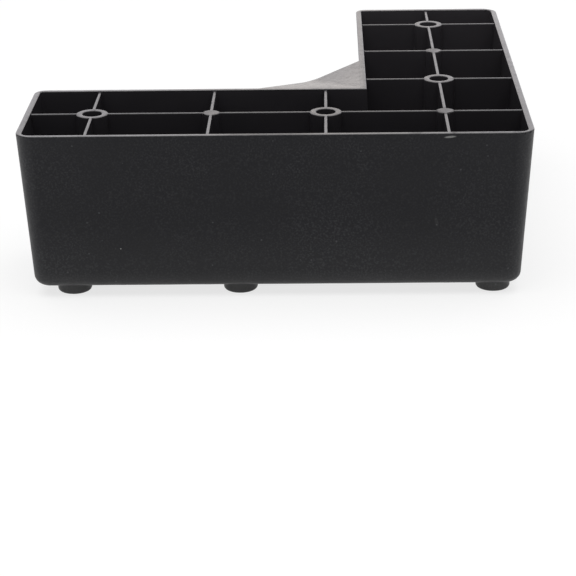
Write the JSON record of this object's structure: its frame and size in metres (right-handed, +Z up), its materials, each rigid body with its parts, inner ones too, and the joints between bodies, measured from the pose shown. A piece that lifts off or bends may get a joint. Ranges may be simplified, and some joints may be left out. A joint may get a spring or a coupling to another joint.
{
  "type": "furniture corner riser",
  "caption": "Black moulded plastic L-shaped corner foot that raises a bed or sofa, open on top, ribbed inside, with screw tubes and small round foot pads",
  "frame": {"origin": "on the floor, under the middle of the square that holds the L", "axes": "+Z up; the outer corner of the L is at +X -Y; one arm runs along X at the front, the other along Y at the right"},
  "size_m": [0.15, 0.15, 0.051],
  "materials": {
    "black_plastic": "fine matte moulded texture on the outside, smoother satin on rim, ribs and inside"
  },
  "bodies": {
    "root": {"corner_riser": "black_plastic"}
  },
  "joints": []
}
